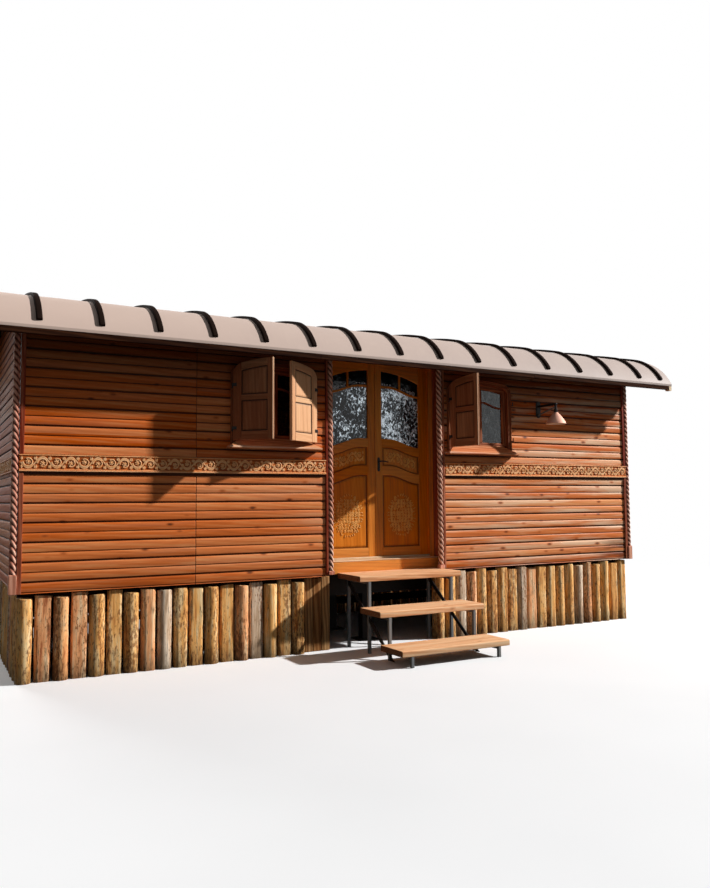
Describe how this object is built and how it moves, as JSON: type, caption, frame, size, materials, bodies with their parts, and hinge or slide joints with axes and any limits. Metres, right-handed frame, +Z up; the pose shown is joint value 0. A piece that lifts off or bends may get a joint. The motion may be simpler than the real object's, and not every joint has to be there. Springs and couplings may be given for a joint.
{
  "type": "shepherds hut",
  "caption": "Timber living hut with a bowed metal roof, recessed arched double doors, shuttered windows, twisted columns, a skirt of upright logs and plank steps.",
  "frame": {"origin": "on the ground under the middle of the body, at the foot of the centre prop", "axes": "+X to the right along the front, +Y from the front into the hut, +Z up"},
  "size_m": [7.77, 3.843, 3.353],
  "materials": {
    "dark_steel": "satin",
    "grey_steel": "worn",
    "deck_timber": "rough sawn",
    "cladding": "stained and varnished",
    "trim": "stained",
    "column": "stained, twisted",
    "carving": "carved and varnished",
    "door_wood": "varnished",
    "glass": "clear",
    "shutter_wood": "stained",
    "window_wood": "stained",
    "copper_shade": "satin",
    "roof_timber": "stained",
    "roof_metal": "matt",
    "rib_metal": "matt",
    "log": "peeled, weathered",
    "tread": "worn"
  },
  "bodies": {
    "root": {"support_posts": "dark_steel", "chassis_beams": "dark_steel", "floor_deck": "deck_timber", "front_wall_left": "cladding", "front_wall_right": "cladding", "recess_cheeks": "trim", "recess_header": "trim", "door_lintel": "trim", "back_wall": "cladding", "end_wall_left": "cladding", "end_wall_right": "cladding", "corner_posts": "trim", "recess_trims": "trim", "recess_columns": "column", "corner_columns": "column", "frieze_boards": "carving", "door_jambs": "door_wood", "door_head": "door_wood", "threshold": "door_wood", "door_hinge_pins": "dark_steel", "window_frames": "window_wood", "window_casements": "window_wood", "window_glass": "glass", "window_sills": "window_wood", "shutter_pintles": "dark_steel", "lamp_bracket": "dark_steel", "lamp_shade": "copper_shade", "roof_boards": "roof_timber", "roof_sheet": "roof_metal", "roof_ribs": "rib_metal", "fascia_boards": "roof_timber", "barge_boards": "roof_timber", "skirt_front_left": "log", "skirt_front_right": "log", "skirt_ends": "log", "skirt_back": "log", "step_treads": "tread", "step_frame": "grey_steel"},
    "door_left": {"door_leaf_left": "door_wood", "door_glass_left": "glass"},
    "door_right": {"door_leaf_right": "door_wood", "door_glass_right": "glass", "door_handle": "dark_steel"},
    "shutter_a": {"shutter_left_outer": "shutter_wood"},
    "shutter_b": {"shutter_left_inner": "shutter_wood"},
    "shutter_c": {"shutter_right_inner": "shutter_wood"}
  },
  "joints": [
    {"name": "door_left_hinge", "type": "hinge", "parent": "root", "child": "door_left", "pos_m": [-0.624, -0.895, 0.858], "axis": [0, 0, 1], "range_deg": [0, 100]},
    {"name": "door_right_hinge", "type": "hinge", "parent": "root", "child": "door_right", "pos_m": [0.704, -0.895, 0.858], "axis": [0, 0, -1], "range_deg": [0, 100]},
    {"name": "shutter_left_outer_hinge", "type": "hinge", "parent": "root", "child": "shutter_a", "pos_m": [-1.65, -1.259, 2], "axis": [0, 0, -1], "range_deg": [-49, 121]},
    {"name": "shutter_left_inner_hinge", "type": "hinge", "parent": "root", "child": "shutter_b", "pos_m": [-0.79, -1.259, 2], "axis": [0, 0, 1], "range_deg": [-29, 91]},
    {"name": "shutter_right_inner_hinge", "type": "hinge", "parent": "root", "child": "shutter_c", "pos_m": [0.79, -1.259, 2], "axis": [0, 0, -1], "range_deg": [-81, 39]}
  ]
}
